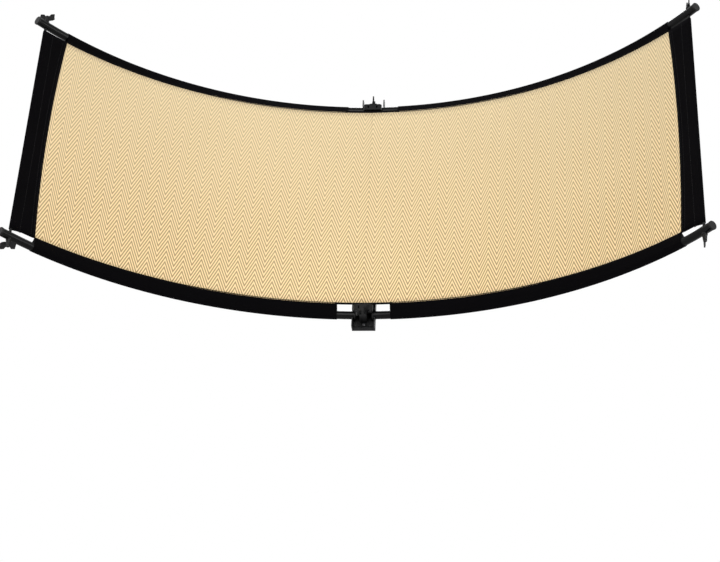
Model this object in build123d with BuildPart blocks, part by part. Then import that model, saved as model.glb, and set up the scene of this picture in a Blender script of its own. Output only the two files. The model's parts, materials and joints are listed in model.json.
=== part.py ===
"""Arched fabric light reflector on a folding tube frame, held by a stand stud.

The reflector is drawn in its own directions: across (along the chord), up (along the
short side) and front (out of the concave side).  Its centre lies midway between the two
arched tubes, at the depth of their axes where they meet the spine.  The part's origin is
the mouth of the stud socket, with +Z up, and the reflector leans back over it.
"""
import os
from math import asin, cos, degrees, radians, sin, sqrt

from build123d import *

# ---- driving sizes, in millimetres and degrees ----
TILT_BACK = 27.0            # lean of the reflector from upright
CLEAR = 0.3                 # gap between pieces that rest on each other
RUNNING = 0.5               # gap beside pieces that swing past each other

TUBE_RADIUS = 9.5
TUBE_WALL = 1.5
ARC_RADIUS = 945.0          # to the axis of the arched tubes
TUBE_SPAN = 578.0           # between the axes of the two arches
ROD_REACH = 849.0           # arc length from the middle to the spreader rods
TUBE_TAIL = 22.0            # arc length of tube past a rod
ROD_RADIUS = 3.2

CLOTH_STANDOFF = 21.8       # cloth in front of the tube axes at the middle
CLOTH_THICKNESS = 1.0
CLOTH_MARGIN = 21.0         # from a tube's axis to the edge of the reflecting cloth
BAND_MARGIN = 18.0          # from a tube's axis to the edge of an end band
BAND_WIDTH = 59.0
HEM_THICKNESS = 1.2
NOTCH_HALF = 62.0           # half the gap in the sleeves at the middle
NOTCH_HEM_WIDTH = 4.7
NOTCH_HEM_THICKNESS = 2.0
SLEEVE_THICKNESS = 1.0
SLEEVE_TIP_RADIUS = 0.9

CHANNEL_WIDTH = 54.0
CHANNEL_WALL = 2.5
CHANNEL_FRONT = 10.0        # front edge of the flanges, ahead of the tube axes
WEB_FACE = -12.0            # inside face of the channel's web
CHANNEL_BELOW = 33.0        # channel past the lower tube's axis
EAR_ABOVE = 32.0            # ears past the upper tube's axis
EAR_TIP_RADIUS = 8.0

HINGE_OUT = 16.0            # fold pins from the middle
PIN_RADIUS = 3.0
PIN_HEAD_RADIUS = 4.6
PIN_HEAD_HEIGHT = 1.4
EYE_RADIUS = 6.5
BLADE_THICKNESS = 6.0
BLADE_INSET = 6.5           # blade's mid plane, inside the tube's axis
COLLAR_START = 19.0
TUBE_START = 22.0
PLUG_LENGTH = 30.0
RIVET_RADIUS = 1.6
LUG_THICKNESS = 4.5
PILLAR_HALF = 8.5
HUB_OUT = 13.6              # hub block past the tube's axis
HUB_TOE = 24.0              # lower hub block's foot past the tube's axis
HUB_STEP = 14.0             # front of the hub's wall, and of the upper hub's shoulder
TOE_SCREW_OUT = 18.5
FRONT_LOCK_OUT = 8.0        # front lock screw past the lower tube's axis
HUB_SCREW_IN = 8.0
HUB_SCREW_RADIUS = 2.0

WING_HUB_RADIUS = 5.6
WING_HUB_HEIGHT = 15.0
WING_THICKNESS = 3.0
WING_HALF = 18.0
WING_HEIGHT = 21.0
CORNER_STUD_RADIUS = 1.95
LOCK_STUD_RADIUS = 2.9
CORNER_STUD_IN_ROD = 12.0
WASHER_RADIUS = 6.5
WASHER_OUT = 11.5
CAP_RADIUS = 10.2
CAP_THICKNESS = 4.0
CAP_PLUG_LENGTH = 13.0

TILT_AXIS_HEIGHT = 68.0     # tilt axis above the socket's mouth
AXIS_TO_WEB = 28.0          # tilt axis behind the channel's back face
BRACKET_PLATE = 3.0
BRACKET_WIDTH = 50.0
BRACKET_HEIGHT = 72.0
BRACKET_EAR_RADIUS = 13.0
KNUCKLE_RADIUS = 13.5
KNUCKLE_HALF = 11.0
DISC_THICKNESS = 2.4
BOLT_RADIUS = 4.0
SOCKET_RADIUS = 8.1
SOCKET_DEPTH = 42.0
RECEIVER_RADIUS = 14.5
RECEIVER_TOP = 50.0
LOCK_HEIGHT = 22.0          # stud lock screw above the socket's mouth
BOSS_RADIUS = 8.5
BOSS_REACH = 24.0
LEVER_REACH = 52.0

# ---- sizes worked out from them ----
tube_bore = TUBE_RADIUS - TUBE_WALL
plug_radius = tube_bore - 0.1
tube_level = TUBE_SPAN / 2
channel_back = WEB_FACE - CHANNEL_WALL
axis_to_tubes = AXIS_TO_WEB - channel_back
slot_half = TUBE_RADIUS + RUNNING
blade_inner = BLADE_INSET + BLADE_THICKNESS / 2
blade_outer = BLADE_INSET - BLADE_THICKNESS / 2
hub_in = blade_inner + RUNNING + LUG_THICKNESS
lug_front = CLOTH_STANDOFF + EYE_RADIUS
flange_inside = CHANNEL_WIDTH / 2 - CHANNEL_WALL
root_angle = degrees(asin(TUBE_START / ARC_RADIUS))
end_angle = degrees((ROD_REACH + TUBE_TAIL) / ARC_RADIUS)
rod_angle = degrees(ROD_REACH / ARC_RADIUS)
hem_radius = ROD_RADIUS + CLEAR + HEM_THICKNESS
knuckle_gap = KNUCKLE_HALF + DISC_THICKNESS + 2 * CLEAR

os.makedirs("parts", exist_ok=True)

across = Vector(1, 0, 0)
up = Vector(0, sin(radians(TILT_BACK)), cos(radians(TILT_BACK)))
front = Vector(0, -cos(radians(TILT_BACK)), sin(radians(TILT_BACK)))
middle = Vector(0, 0, TILT_AXIS_HEIGHT) + front * axis_to_tubes

SIDES = {"left": -1, "right": 1}
LEVELS = {"lower": -1, "upper": 1}


def at(x=0.0, s=0.0, n=0.0):
    """Point x across, s up and n in front of the reflector's middle."""
    return middle + across * x + up * s + front * n


def face_plane(x=0.0, s=0.0, n=0.0):
    """Plane seen from the front: local x across, y up."""
    return Plane(origin=at(x, s, n), x_dir=across, z_dir=front)


def slice_plane(s=0.0):
    """Plane square to the short side: local x across, y front."""
    return Plane(origin=at(0, s, 0), x_dir=across, z_dir=up * -1)


def side_plane(x=0.0):
    """Plane square to the chord: local x up, y front."""
    return Plane(origin=at(x, 0, 0), x_dir=up, z_dir=across)


def tube_plane(side, angle, s):
    """Section of a tube at an angle round its arc: z outward along it, y to the front."""
    turn = radians(angle)
    origin = at(side * ARC_RADIUS * sin(turn), s, ARC_RADIUS * (1 - cos(turn)))
    along = across * (side * cos(turn)) + front * sin(turn)
    return Plane(origin=origin, x_dir=up * side, z_dir=along)


def arc_axis(side, radius, ahead):
    """Axis of an arc that touches the depth given as ahead at the middle."""
    return Axis(at(0, 0, ahead + radius), up * -side)


def save(name, part):
    """Label a finished piece and write its file."""
    part.label = name
    export_step(part, f"parts/{name}.step")


# ---- the cloth's own arc, from its stand-off at the middle to the rods ----
rod_x = ARC_RADIUS * sin(radians(rod_angle))
rod_n = ARC_RADIUS * (1 - cos(radians(rod_angle)))
cloth_end_standoff = hem_radius - CLOTH_THICKNESS / 2
cloth_end_x = (ARC_RADIUS - cloth_end_standoff) * sin(radians(rod_angle))
cloth_end_n = ARC_RADIUS - (ARC_RADIUS - cloth_end_standoff) * cos(radians(rod_angle))
cloth_rise = cloth_end_n - CLOTH_STANDOFF
CLOTH_RADIUS = (cloth_end_x**2 + cloth_rise**2) / (2 * cloth_rise)
cloth_end_angle = degrees(asin(cloth_end_x / CLOTH_RADIUS))
cloth_half_height = tube_level - CLOTH_MARGIN
arc_offset = CLOTH_STANDOFF + CLOTH_RADIUS - ARC_RADIUS
print(f"cloth radius {CLOTH_RADIUS:.1f}, half length {CLOTH_RADIUS * radians(cloth_end_angle):.1f}")


def cloth_angle(x):
    """Angle round the cloth's arc at a distance from the middle."""
    return degrees(asin(x / CLOTH_RADIUS))


def cloth_ahead(angle):
    """Cloth's distance in front of the tube's axis, square to the tube."""
    turn = radians(angle)
    radius = sqrt(CLOTH_RADIUS**2 - (arc_offset * sin(turn)) ** 2) - arc_offset * cos(turn)
    return ARC_RADIUS - radius


def cloth_turn(angle):
    """Angle round the cloth's arc that lies in front of a tube at an angle round its own."""
    return cloth_angle((ARC_RADIUS - cloth_ahead(angle)) * sin(radians(angle)))


def cloth_plane(side, angle):
    """Section of the cloth at an angle round its arc: y to the front."""
    turn = radians(angle)
    origin = at(side * CLOTH_RADIUS * sin(turn), 0, CLOTH_STANDOFF + CLOTH_RADIUS * (1 - cos(turn)))
    along = across * (side * cos(turn)) + front * sin(turn)
    return Plane(origin=origin, x_dir=up * side, z_dir=along)


def cloth_strip(side, start, stop, low, high, thickness):
    """Curved strip of cloth between two angles and two levels."""
    with BuildPart() as strip:
        with BuildSketch(cloth_plane(side, start)):
            with Locations((side * (low + high) / 2, 0)):
                Rectangle(high - low, thickness)
        revolve(axis=arc_axis(side, CLOTH_RADIUS, CLOTH_STANDOFF), revolution_arc=stop - start)
    return strip.part


# ---- spine: a channel with open saddles for the four tubes ----
BRACKET_SCREW_X = 17.0
BRACKET_SCREW_S = 27.0
bracket_spots = [(x, s) for x in (-BRACKET_SCREW_X, BRACKET_SCREW_X) for s in (-BRACKET_SCREW_S, BRACKET_SCREW_S)]

with BuildPart() as spine:
    with BuildSketch(slice_plane(-tube_level - CHANNEL_BELOW)):
        with BuildLine():
            Polyline(
                (-CHANNEL_WIDTH / 2, CHANNEL_FRONT),
                (-CHANNEL_WIDTH / 2, channel_back),
                (CHANNEL_WIDTH / 2, channel_back),
                (CHANNEL_WIDTH / 2, CHANNEL_FRONT),
                (flange_inside, CHANNEL_FRONT),
                (flange_inside, WEB_FACE),
                (-flange_inside, WEB_FACE),
                (-flange_inside, CHANNEL_FRONT),
                close=True,
            )
        make_face()
    extrude(amount=-(TUBE_SPAN + CHANNEL_BELOW + EAR_ABOVE))
    with BuildSketch(side_plane()):
        with Locations((-tube_level, 0), (tube_level, 0)):
            Circle(slot_half)
        with Locations((-tube_level, CHANNEL_FRONT), (tube_level, CHANNEL_FRONT)):
            Rectangle(2 * slot_half, 2 * CHANNEL_FRONT)
    extrude(amount=CHANNEL_WIDTH, both=True, mode=Mode.SUBTRACT)
    web_cut = EAR_ABOVE - HUB_OUT
    with BuildSketch(face_plane(s=tube_level + HUB_OUT + web_cut / 2)):
        Rectangle(2 * flange_inside, web_cut)
    extrude(amount=2 * channel_back, mode=Mode.SUBTRACT)
    ear_edges = spine.edges().filter_by(Axis(at(), across)).group_by(Axis(at(), up))[-1]
    fillet(ear_edges, radius=EAR_TIP_RADIUS)
    screw_spots = [(0, side * (tube_level - HUB_SCREW_IN)) for side in (-1, 1)]
    screw_spots += [(0, -tube_level - TOE_SCREW_OUT)]
    screw_spots += bracket_spots
    with BuildSketch(face_plane(n=WEB_FACE)):
        with Locations(*screw_spots):
            Circle(HUB_SCREW_RADIUS + CLEAR / 2)
    extrude(amount=2 * CHANNEL_WALL, both=True, mode=Mode.SUBTRACT)
save("spine_channel", spine.part)


# ---- hub blocks: a pillar between the wings, with lugs for the fold pins ----
def hub_block(level, toe, shoulder):
    """Block at one end of the spine: its toe past the tube's axis, its shoulder's front."""
    axis_s = level * tube_level
    with BuildPart() as block:
        with BuildSketch(slice_plane(axis_s - level * (hub_in - LUG_THICKNESS / 2))):
            wall_height = HUB_STEP - WEB_FACE
            with Locations((0, (HUB_STEP + WEB_FACE) / 2)):
                Rectangle(2 * (flange_inside - CLEAR), wall_height)
            with Locations((0, (HUB_STEP + lug_front) / 2)):
                Rectangle(2 * HINGE_OUT, lug_front - HUB_STEP)
            with Locations((-HINGE_OUT, CLOTH_STANDOFF), (HINGE_OUT, CLOTH_STANDOFF)):
                Circle(EYE_RADIUS)
        extrude(amount=LUG_THICKNESS / 2, both=True)
        lug_out = blade_outer - RUNNING
        with BuildSketch(slice_plane(axis_s - level * (lug_out - LUG_THICKNESS / 2))):
            with Locations((0, CLOTH_STANDOFF)):
                Rectangle(2 * HINGE_OUT, 2 * EYE_RADIUS)
            with Locations((-HINGE_OUT, CLOTH_STANDOFF), (HINGE_OUT, CLOTH_STANDOFF)):
                Circle(EYE_RADIUS)
        extrude(amount=LUG_THICKNESS / 2, both=True)
        with BuildSketch(side_plane()):
            with Locations((axis_s + level * (HUB_OUT - hub_in) / 2, (WEB_FACE + shoulder) / 2)):
                Rectangle(hub_in + HUB_OUT, shoulder - WEB_FACE)
            pillar_out = LUG_THICKNESS - lug_out
            with Locations((axis_s + level * (pillar_out - hub_in) / 2, (HUB_STEP + lug_front) / 2)):
                Rectangle(hub_in + pillar_out, lug_front - HUB_STEP)
        extrude(amount=PILLAR_HALF, both=True)
        foot_height = -TUBE_RADIUS - WEB_FACE - RUNNING
        with BuildSketch(side_plane()):
            with Locations((axis_s + level * (toe - hub_in) / 2, WEB_FACE + foot_height / 2)):
                Rectangle(hub_in + toe, foot_height)
        extrude(amount=flange_inside - CLEAR, both=True)
        with BuildSketch(slice_plane(axis_s)):
            with Locations((-HINGE_OUT, CLOTH_STANDOFF), (HINGE_OUT, CLOTH_STANDOFF)):
                Circle(PIN_RADIUS + 0.05)
        extrude(amount=2 * hub_in, both=True, mode=Mode.SUBTRACT)
        with BuildSketch(face_plane(s=axis_s - level * HUB_SCREW_IN, n=WEB_FACE)):
            Circle(HUB_SCREW_RADIUS + 0.05)
        extrude(amount=HUB_STEP, mode=Mode.SUBTRACT)
    return block


LOCK_BORE = LOCK_STUD_RADIUS + 0.1
LOCK_STUD_LENGTH = 18.0
front_lock_s = -tube_level - FRONT_LOCK_OUT

with BuildPart() as upper_hub:
    add(hub_block(1, HUB_OUT, HUB_STEP).part)
    with BuildSketch(slice_plane(tube_level + HUB_OUT)):
        Circle(LOCK_BORE)
    extrude(amount=LOCK_STUD_LENGTH + 2, mode=Mode.SUBTRACT)
save("upper_hub_block", upper_hub.part)

with BuildPart() as lower_hub:
    add(hub_block(-1, HUB_TOE, lug_front).part)
    with BuildSketch(face_plane(s=front_lock_s, n=lug_front)):
        Circle(LOCK_BORE)
    extrude(amount=-LOCK_STUD_LENGTH - 2, mode=Mode.SUBTRACT)
    with BuildSketch(face_plane(s=-tube_level - TOE_SCREW_OUT, n=WEB_FACE)):
        Circle(HUB_SCREW_RADIUS + 0.05)
    extrude(amount=HUB_OUT, both=True, mode=Mode.SUBTRACT)
save("lower_hub_block", lower_hub.part)


def pan_head_screw(seat, radius, length, head_radius, head_height):
    """Screw whose domed head stands out of its seat, with the shank below it."""
    with BuildPart() as screw:
        with BuildSketch(seat):
            Circle(head_radius)
        extrude(amount=head_height)
        fillet(screw.edges().sort_by(Axis(seat.origin, seat.z_dir))[-1], head_height * 0.6)
        with BuildSketch(seat):
            Circle(radius)
        extrude(amount=-length)
    return screw.part


SCREW_HEAD_RADIUS = 3.8
SCREW_HEAD_HEIGHT = 2.2
for name, level in LEVELS.items():
    back_seat = Plane(
        origin=at(0, level * (tube_level - HUB_SCREW_IN), channel_back), x_dir=across, z_dir=front * -1
    )
    with BuildPart() as screws:
        add(pan_head_screw(back_seat, HUB_SCREW_RADIUS, 14, SCREW_HEAD_RADIUS, SCREW_HEAD_HEIGHT))
        if level < 0:
            toe_seat = face_plane(s=-tube_level - TOE_SCREW_OUT, n=-TUBE_RADIUS - RUNNING)
            toe_length = -TUBE_RADIUS - RUNNING - channel_back
            add(pan_head_screw(toe_seat, HUB_SCREW_RADIUS, toe_length, SCREW_HEAD_RADIUS, SCREW_HEAD_HEIGHT))
    save(f"{name}_hub_screws", screws.part)

pin_outer = LUG_THICKNESS - blade_outer + RUNNING
for level_name, level in LEVELS.items():
    for side_name, side in SIDES.items():
        with BuildPart() as pin:
            with BuildSketch(slice_plane(level * (tube_level - hub_in))):
                with Locations((side * HINGE_OUT, CLOTH_STANDOFF)):
                    Circle(PIN_RADIUS)
            extrude(amount=-level * (hub_in + pin_outer))
            with BuildSketch(slice_plane(level * (tube_level + pin_outer))):
                with Locations((side * HINGE_OUT, CLOTH_STANDOFF)):
                    Circle(PIN_HEAD_RADIUS)
            extrude(amount=-level * PIN_HEAD_HEIGHT)
        save(f"{level_name}_{side_name}_fold_pin", pin.part)


# ---- wing screws ----
def wing_screw(seat, stud_radius, stud_length):
    """Plastic wing knob on a steel stud: wings along the seat's x, stud below the seat."""
    upright = Plane(origin=seat.origin, x_dir=seat.x_dir, z_dir=seat.y_dir * -1)
    with BuildPart() as screw:
        with BuildSketch(seat):
            Circle(WING_HUB_RADIUS)
        extrude(amount=WING_HUB_HEIGHT, taper=6)
        with BuildSketch(upright) as wing:
            with BuildLine() as outline:
                Polyline(
                    (0, 2.5),
                    (WING_HALF * 0.75, 4.0),
                    (WING_HALF, 7.0),
                    (WING_HALF * 0.93, WING_HEIGHT),
                    (WING_HALF * 0.45, WING_HEIGHT - 0.5),
                    (WING_HUB_RADIUS * 0.7, WING_HUB_HEIGHT),
                    (0, WING_HUB_HEIGHT),
                )
                mirror(about=Plane.YZ)
            make_face()
            fillet(wing.vertices().filter_by_position(Axis.X, WING_HALF * 0.9, WING_HALF * 1.1), 1.8)
            fillet(wing.vertices().filter_by_position(Axis.X, -WING_HALF * 1.1, -WING_HALF * 0.9), 1.8)
        extrude(amount=WING_THICKNESS / 2, both=True)
        with BuildSketch(seat):
            Circle(stud_radius)
        extrude(amount=-stud_length)
    return screw.part


corner_stud_length = WASHER_OUT + CLEAR + TUBE_RADIUS + CORNER_STUD_IN_ROD
rod_end = tube_level - TUBE_RADIUS - CLEAR
for level_name, level in LEVELS.items():
    for side_name, side in SIDES.items():
        seat = Plane(
            origin=at(side * rod_x, level * (tube_level + WASHER_OUT + CLEAR), rod_n),
            x_dir=across if side < 0 else front,
            z_dir=up * level,
        )
        save(
            f"{level_name}_{side_name}_corner_screw",
            wing_screw(seat, CORNER_STUD_RADIUS, corner_stud_length),
        )

upper_lock_seat = Plane(origin=at(0, tube_level + HUB_OUT + CLEAR, 0), x_dir=front, z_dir=up)
save("upper_hub_lock_screw", wing_screw(upper_lock_seat, LOCK_STUD_RADIUS, LOCK_STUD_LENGTH))
LOCK_LEAN = radians(42)
lower_lock_seat = Plane(
    origin=at(0, front_lock_s, lug_front + CLEAR),
    x_dir=across * cos(LOCK_LEAN) + up * sin(LOCK_LEAN),
    z_dir=front,
)
save("lower_hub_lock_screw", wing_screw(lower_lock_seat, LOCK_STUD_RADIUS, LOCK_STUD_LENGTH))


# ---- wings: two arched tubes, their root fittings and caps, and a spreader rod ----
def hole_plane(side, level, angle):
    """Plane square to the short side, centred on a tube's axis at an angle round its arc."""
    turn = radians(angle)
    origin = at(side * ARC_RADIUS * sin(turn), level * tube_level, ARC_RADIUS * (1 - cos(turn)))
    return Plane(origin=origin, x_dir=across, z_dir=up * -1)


rivet_angle = degrees((TUBE_START + PLUG_LENGTH * 0.6) / ARC_RADIUS)
for level_name, level in LEVELS.items():
    for side_name, side in SIDES.items():
        tube_s = level * tube_level
        with BuildPart() as tube:
            with BuildSketch(tube_plane(side, root_angle, tube_s)):
                Circle(TUBE_RADIUS)
                Circle(tube_bore, mode=Mode.SUBTRACT)
            revolve(axis=arc_axis(side, ARC_RADIUS, 0), revolution_arc=end_angle - root_angle)
            with BuildSketch(hole_plane(side, level, rod_angle)):
                Circle(CORNER_STUD_RADIUS + CLEAR)
            extrude(amount=2 * TUBE_RADIUS, both=True, mode=Mode.SUBTRACT)
            with BuildSketch(hole_plane(side, level, rivet_angle)):
                Circle(RIVET_RADIUS + 0.05)
            extrude(amount=2 * TUBE_RADIUS, both=True, mode=Mode.SUBTRACT)
        save(f"{level_name}_{side_name}_arc_tube", tube.part)

        with BuildPart() as fitting:
            with BuildSketch(tube_plane(side, root_angle, tube_s)):
                Circle(plug_radius)
            revolve(
                axis=arc_axis(side, ARC_RADIUS, 0),
                revolution_arc=degrees(PLUG_LENGTH / ARC_RADIUS),
            )
            with BuildSketch(tube_plane(side, root_angle, tube_s)):
                Circle(TUBE_RADIUS)
            extrude(amount=COLLAR_START - TUBE_START)
            blade_s = level * (tube_level - BLADE_INSET)
            blade_start = PILLAR_HALF + CLEAR
            blade_stop = (COLLAR_START + TUBE_START) / 2
            with BuildSketch(slice_plane(blade_s)):
                with Locations((side * (blade_start + blade_stop) / 2, CLOTH_STANDOFF / 2)):
                    Rectangle(blade_stop - blade_start, CLOTH_STANDOFF)
                with Locations((side * HINGE_OUT, CLOTH_STANDOFF)):
                    Circle(EYE_RADIUS)
                    Circle(PIN_RADIUS + 0.1, mode=Mode.SUBTRACT)
            extrude(amount=BLADE_THICKNESS / 2, both=True)
            with BuildSketch(hole_plane(side, level, rivet_angle)):
                Circle(RIVET_RADIUS + 0.05)
            extrude(amount=2 * TUBE_RADIUS, both=True, mode=Mode.SUBTRACT)
        save(f"{level_name}_{side_name}_root_fitting", fitting.part)

        with BuildPart() as cap:
            with BuildSketch(tube_plane(side, end_angle, tube_s)):
                Circle(CAP_RADIUS)
            extrude(amount=CAP_THICKNESS)
            cap_plane = tube_plane(side, end_angle, tube_s)
            fillet(cap.edges().sort_by(Axis(cap_plane.origin, cap_plane.z_dir))[-1], CAP_THICKNESS / 4)
            with BuildSketch(tube_plane(side, end_angle, tube_s)):
                Circle(plug_radius)
            extrude(amount=-CAP_PLUG_LENGTH)
        save(f"{level_name}_{side_name}_end_cap", cap.part)

for side_name, side in SIDES.items():
    with BuildPart() as rod:
        with BuildSketch(slice_plane(rod_end)):
            with Locations((side * rod_x, rod_n)):
                Circle(ROD_RADIUS)
        extrude(amount=2 * rod_end)
        for level in LEVELS.values():
            with BuildSketch(slice_plane(level * rod_end)):
                with Locations((side * rod_x, rod_n)):
                    Circle(CORNER_STUD_RADIUS + 0.05)
            extrude(amount=level * (CORNER_STUD_IN_ROD + 2), mode=Mode.SUBTRACT)
    save(f"{side_name}_spreader_rod", rod.part)

    with BuildPart() as washers:
        for level in LEVELS.values():
            with BuildSketch(slice_plane(level * (tube_level + WASHER_OUT))):
                with Locations((side * rod_x, rod_n)):
                    Circle(WASHER_RADIUS)
                    Circle(CORNER_STUD_RADIUS + CLEAR, mode=Mode.SUBTRACT)
            extrude(amount=level * (WASHER_OUT - TUBE_RADIUS * 0.7))
        for level in LEVELS.values():
            with BuildSketch(tube_plane(side, rod_angle - 1, level * tube_level)):
                Circle(TUBE_RADIUS + CLEAR / 2)
            revolve(axis=arc_axis(side, ARC_RADIUS, 0), revolution_arc=2, mode=Mode.SUBTRACT)
    save(f"{side_name}_saddle_washers", washers.part)

    with BuildPart() as rivets:
        for level in LEVELS.values():
            with BuildSketch(hole_plane(side, level, rivet_angle)):
                Circle(RIVET_RADIUS)
            extrude(amount=TUBE_RADIUS - 0.4, both=True)
    save(f"{side_name}_root_rivets", rivets.part)

# ---- cloth ----
sleeve_start = degrees(NOTCH_HALF / ARC_RADIUS)
sleeve_stop = degrees((ROD_REACH - BAND_WIDTH) / ARC_RADIUS)
cloth_gap = degrees(CLEAR / CLOTH_RADIUS)
panel_start = cloth_angle(HINGE_OUT + RUNNING)
centre_stop = cloth_angle(HINGE_OUT - RUNNING)
hem_low = cloth_half_height + CLEAR
hem_high = hem_low + NOTCH_HEM_WIDTH
with BuildPart() as centre_panel:
    for side in SIDES.values():
        add(cloth_strip(side, 0, centre_stop, -cloth_half_height, cloth_half_height, CLOTH_THICKNESS))
save("reflector_panel_centre", centre_panel.part)
with BuildPart() as centre_hems:
    for side in SIDES.values():
        add(cloth_strip(side, 0, centre_stop, hem_low, hem_high, NOTCH_HEM_THICKNESS))
        add(cloth_strip(side, 0, centre_stop, -hem_high, -hem_low, NOTCH_HEM_THICKNESS))
save("notch_hems_centre", centre_hems.part)

for side_name, side in SIDES.items():
    panel_stop = cloth_turn(sleeve_stop)
    panel = cloth_strip(side, panel_start, panel_stop, -cloth_half_height, cloth_half_height, CLOTH_THICKNESS)
    save(f"reflector_panel_{side_name}", panel)

    hem_stop = cloth_turn(sleeve_start) - cloth_gap
    with BuildPart() as hems:
        add(cloth_strip(side, panel_start, hem_stop, hem_low, hem_high, NOTCH_HEM_THICKNESS))
        add(cloth_strip(side, panel_start, hem_stop, -hem_high, -hem_low, NOTCH_HEM_THICKNESS))
    save(f"notch_hems_{side_name}", hems.part)

    band_half = tube_level - BAND_MARGIN
    with BuildPart() as band:
        band_start = panel_stop + cloth_gap
        add(cloth_strip(side, band_start, cloth_end_angle, -band_half, band_half, CLOTH_THICKNESS))
        with BuildSketch(slice_plane()):
            with Locations((side * rod_x, rod_n)):
                Circle(hem_radius)
        extrude(amount=band_half, both=True)
        with BuildSketch(slice_plane()):
            with Locations((side * rod_x, rod_n)):
                Circle(ROD_RADIUS + CLEAR)
        extrude(amount=band_half, both=True, mode=Mode.SUBTRACT)
    save(f"end_band_{side_name}", band.part)

SLEEVE_SECTIONS = 6
sleeve_tip = CLOTH_MARGIN - CLEAR - SLEEVE_TIP_RADIUS
for level_name, level in LEVELS.items():
    for side_name, side in SIDES.items():
        with BuildPart() as sleeve:
            for step in range(SLEEVE_SECTIONS):
                angle = sleeve_start + (sleeve_stop - sleeve_start) * step / (SLEEVE_SECTIONS - 1)
                tip = (-side * level * sleeve_tip, cloth_ahead(angle))
                with BuildSketch(tube_plane(side, angle, level * tube_level)):
                    with BuildLine():
                        CenterArc((0, 0), TUBE_RADIUS + CLEAR + SLEEVE_THICKNESS, 0, 360)
                        CenterArc(tip, SLEEVE_TIP_RADIUS, 0, 360)
                    make_hull()
            loft()
            with BuildSketch(tube_plane(side, sleeve_start - 0.5, level * tube_level)):
                Circle(TUBE_RADIUS + CLEAR)
            revolve(
                axis=arc_axis(side, ARC_RADIUS, 0),
                revolution_arc=sleeve_stop - sleeve_start + 1,
                mode=Mode.SUBTRACT,
            )
        save(f"{level_name}_{side_name}_sleeve", sleeve.part)

# ---- tilt bracket on the spine's back, and the stud receiver under it ----
axis_n = channel_back - AXIS_TO_WEB
plate_back = channel_back - BRACKET_PLATE
ear_middle = knuckle_gap + BRACKET_PLATE / 2
with BuildPart() as bracket:
    with BuildSketch(face_plane(n=channel_back)):
        RectangleRounded(BRACKET_WIDTH, BRACKET_HEIGHT, 5)
        with Locations(*bracket_spots):
            Circle(HUB_SCREW_RADIUS + 0.05, mode=Mode.SUBTRACT)
    extrude(amount=-BRACKET_PLATE)
    with BuildSketch(side_plane(ear_middle), side_plane(-ear_middle)):
        with Locations((0, axis_n)):
            Circle(BRACKET_EAR_RADIUS)
        with Locations((0, (axis_n + plate_back) / 2)):
            Rectangle(2 * BRACKET_EAR_RADIUS, plate_back - axis_n)
        with Locations((0, axis_n)):
            Circle(BOLT_RADIUS + CLEAR / 2, mode=Mode.SUBTRACT)
    extrude(amount=BRACKET_PLATE / 2, both=True)
save("tilt_bracket", bracket.part)

with BuildPart() as bracket_screws:
    for x, s in bracket_spots:
        seat = Plane(origin=at(x, s, plate_back), x_dir=across, z_dir=front * -1)
        add(pan_head_screw(seat, HUB_SCREW_RADIUS, BRACKET_PLATE + CHANNEL_WALL, SCREW_HEAD_RADIUS, SCREW_HEAD_HEIGHT))
save("bracket_screws", bracket_screws.part)


with BuildPart() as receiver:
    with BuildSketch():
        Circle(RECEIVER_RADIUS)
    extrude(amount=RECEIVER_TOP)
    chamfer(receiver.edges(), 1.2)
    with BuildSketch(Plane.YZ):
        with Locations((0, TILT_AXIS_HEIGHT)):
            Circle(KNUCKLE_RADIUS)
        with Locations((0, (TILT_AXIS_HEIGHT + RECEIVER_TOP) / 2 - 1)):
            Rectangle(2 * KNUCKLE_RADIUS - 2, TILT_AXIS_HEIGHT - RECEIVER_TOP + 2)
    extrude(amount=KNUCKLE_HALF, both=True)
    with BuildSketch(Plane.XZ):
        with Locations((0, LOCK_HEIGHT)):
            Circle(BOSS_RADIUS)
    extrude(amount=-BOSS_REACH)
    with BuildSketch():
        Circle(SOCKET_RADIUS)
    extrude(amount=SOCKET_DEPTH, mode=Mode.SUBTRACT)
    with BuildSketch(Plane.XZ):
        with Locations((0, LOCK_HEIGHT)):
            Circle(BOLT_RADIUS + 0.1)
    extrude(amount=-BOSS_REACH, mode=Mode.SUBTRACT)
    with BuildSketch(Plane.YZ):
        with Locations((0, TILT_AXIS_HEIGHT)):
            Circle(BOLT_RADIUS + CLEAR / 2)
    extrude(amount=2 * KNUCKLE_HALF, both=True, mode=Mode.SUBTRACT)
save("stud_receiver", receiver.part)

PAD_THICKNESS = 2.5
pad_face = SOCKET_RADIUS
with BuildPart() as pad:
    with BuildSketch(Plane.XZ.offset(-pad_face)):
        with Locations((0, LOCK_HEIGHT)):
            Circle(BOLT_RADIUS)
    extrude(amount=-PAD_THICKNESS)
save("lock_pad", pad.part)

lock_seat = Plane(origin=(0, BOSS_REACH + CLEAR, LOCK_HEIGHT), x_dir=(1, 0, 0), z_dir=(0, 1, 0))
lock_length = BOSS_REACH + CLEAR - pad_face - PAD_THICKNESS - 0.05
save("stud_lock_screw", wing_screw(lock_seat, BOLT_RADIUS, lock_length))

with BuildPart() as discs:
    with BuildSketch(Plane.YZ.offset(KNUCKLE_HALF + CLEAR / 2), Plane.YZ.offset(-KNUCKLE_HALF - CLEAR / 2 - DISC_THICKNESS)):
        with Locations((0, TILT_AXIS_HEIGHT)):
            Circle(KNUCKLE_RADIUS - 1)
            Circle(BOLT_RADIUS + CLEAR / 2, mode=Mode.SUBTRACT)
    extrude(amount=DISC_THICKNESS)
save("friction_discs", discs.part)

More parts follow.
